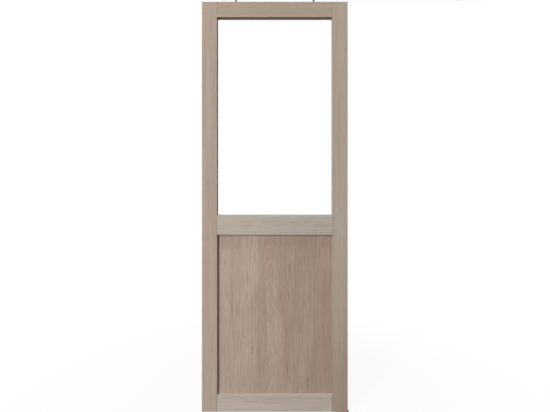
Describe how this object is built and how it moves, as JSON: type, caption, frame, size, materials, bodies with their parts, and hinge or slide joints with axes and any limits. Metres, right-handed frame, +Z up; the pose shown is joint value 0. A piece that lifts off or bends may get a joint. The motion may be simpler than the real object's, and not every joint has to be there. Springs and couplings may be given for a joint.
{
  "type": "glazed sliding door",
  "caption": "Half-glazed stile-and-rail sliding door leaf with a flat lower panel, hung on rollers from a wall-fixed track with end stops and a floor guide.",
  "frame": {"origin": "on the finished floor under the floor guide, at the middle of the track's length and of the leaf's thickness", "axes": "+X along the track, the way the leaf opens; +Y from the room towards the wall; +Z up"},
  "size_m": [1.466, 0.052, 2.1644],
  "materials": {
    "upright_decor": "matt grey-brown oak decor, upright grain",
    "level_decor": "matt grey-brown oak decor, level grain",
    "panel_decor": "matt grey-brown oak decor, upright figured grain",
    "clear_glass": "clear float glass",
    "glazing_tape": "matt foam tape",
    "setting_block": "matt",
    "beech": "bare beech",
    "aluminium": "natural anodised",
    "zinc_steel": "bright zinc plated",
    "axle_steel": "ground",
    "bracket_steel": "zinc plated",
    "trolley_plastic": "glass-filled, moulded",
    "wheel_nylon": "moulded nylon",
    "stop_plastic": "moulded",
    "buffer_rubber": "matt",
    "cap_plastic": "moulded, grey",
    "guide_plastic": "moulded, dark grey"
  },
  "bodies": {
    "fixed_gear": {"track": "aluminium", "track_stop_left": "stop_plastic", "track_stop_right": "stop_plastic", "stop_buffer_left": "buffer_rubber", "stop_buffer_right": "buffer_rubber", "stop_clamps": "zinc_steel", "stop_screws": "zinc_steel", "track_end_cap_left": "cap_plastic", "track_end_cap_right": "cap_plastic", "wall_bracket_1": "bracket_steel", "wall_bracket_2": "bracket_steel", "wall_bracket_3": "bracket_steel", "wall_bracket_4": "bracket_steel", "track_bolts": "zinc_steel", "track_nuts": "zinc_steel", "floor_guide": "guide_plastic"},
    "leaf": {"stile_left": "upright_decor", "stile_right": "upright_decor", "top_rail": "level_decor", "middle_rail": "level_decor", "bottom_rail": "level_decor", "lower_panel": "panel_decor", "glass_pane": "clear_glass", "glazing_tape": "glazing_tape", "glazing_bead_top": "level_decor", "glazing_bead_bottom": "level_decor", "glazing_bead_left": "upright_decor", "glazing_bead_right": "upright_decor", "setting_blocks": "setting_block", "frame_dowels": "beech", "guide_channel": "aluminium", "hanger_plate_left": "zinc_steel", "hanger_plate_right": "zinc_steel", "hanger_screws": "zinc_steel", "suspension_bolt_left": "zinc_steel", "suspension_bolt_right": "zinc_steel", "lock_nut_left": "zinc_steel", "lock_nut_right": "zinc_steel", "trolley_body_left": "trolley_plastic", "trolley_body_right": "trolley_plastic", "trolley_axles_left": "axle_steel", "trolley_axles_right": "axle_steel"},
    "wheel_left_first_front": {"wheel_left_first_front": "wheel_nylon"},
    "wheel_left_first_back": {"wheel_left_first_back": "wheel_nylon"},
    "wheel_left_second_front": {"wheel_left_second_front": "wheel_nylon"},
    "wheel_left_second_back": {"wheel_left_second_back": "wheel_nylon"},
    "wheel_right_first_front": {"wheel_right_first_front": "wheel_nylon"},
    "wheel_right_first_back": {"wheel_right_first_back": "wheel_nylon"},
    "wheel_right_second_front": {"wheel_right_second_front": "wheel_nylon"},
    "wheel_right_second_back": {"wheel_right_second_back": "wheel_nylon"}
  },
  "joints": [
    {"name": "leaf_slide", "type": "slide", "parent": "fixed_gear", "child": "leaf", "axis": [1, 0, 0], "range_m": [0, 0.68]},
    {"name": "wheel_left_first_front_spin", "type": "hinge", "parent": "leaf", "child": "wheel_left_first_front", "pos_m": [-0.558, -0.0094, 2.0959], "axis": [0, 1, 0], "continuous": true},
    {"name": "wheel_left_first_back_spin", "type": "hinge", "parent": "leaf", "child": "wheel_left_first_back", "pos_m": [-0.558, 0.0094, 2.0959], "axis": [0, 1, 0], "continuous": true},
    {"name": "wheel_left_second_front_spin", "type": "hinge", "parent": "leaf", "child": "wheel_left_second_front", "pos_m": [-0.514, -0.0094, 2.0959], "axis": [0, 1, 0], "continuous": true},
    {"name": "wheel_left_second_back_spin", "type": "hinge", "parent": "leaf", "child": "wheel_left_second_back", "pos_m": [-0.514, 0.0094, 2.0959], "axis": [0, 1, 0], "continuous": true},
    {"name": "wheel_right_first_front_spin", "type": "hinge", "parent": "leaf", "child": "wheel_right_first_front", "pos_m": [-0.166, -0.0094, 2.0959], "axis": [0, 1, 0], "continuous": true},
    {"name": "wheel_right_first_back_spin", "type": "hinge", "parent": "leaf", "child": "wheel_right_first_back", "pos_m": [-0.166, 0.0094, 2.0959], "axis": [0, 1, 0], "continuous": true},
    {"name": "wheel_right_second_front_spin", "type": "hinge", "parent": "leaf", "child": "wheel_right_second_front", "pos_m": [-0.122, -0.0094, 2.0959], "axis": [0, 1, 0], "continuous": true},
    {"name": "wheel_right_second_back_spin", "type": "hinge", "parent": "leaf", "child": "wheel_right_second_back", "pos_m": [-0.122, 0.0094, 2.0959], "axis": [0, 1, 0], "continuous": true}
  ],
  "couplings": [
    {"joint": "wheel_left_first_front_spin", "follows": "leaf_slide", "rad_per_m": 105.26},
    {"joint": "wheel_left_first_back_spin", "follows": "leaf_slide", "rad_per_m": 105.26},
    {"joint": "wheel_left_second_front_spin", "follows": "leaf_slide", "rad_per_m": 105.26},
    {"joint": "wheel_left_second_back_spin", "follows": "leaf_slide", "rad_per_m": 105.26},
    {"joint": "wheel_right_first_front_spin", "follows": "leaf_slide", "rad_per_m": 105.26},
    {"joint": "wheel_right_first_back_spin", "follows": "leaf_slide", "rad_per_m": 105.26},
    {"joint": "wheel_right_second_front_spin", "follows": "leaf_slide", "rad_per_m": 105.26},
    {"joint": "wheel_right_second_back_spin", "follows": "leaf_slide", "rad_per_m": 105.26}
  ]
}
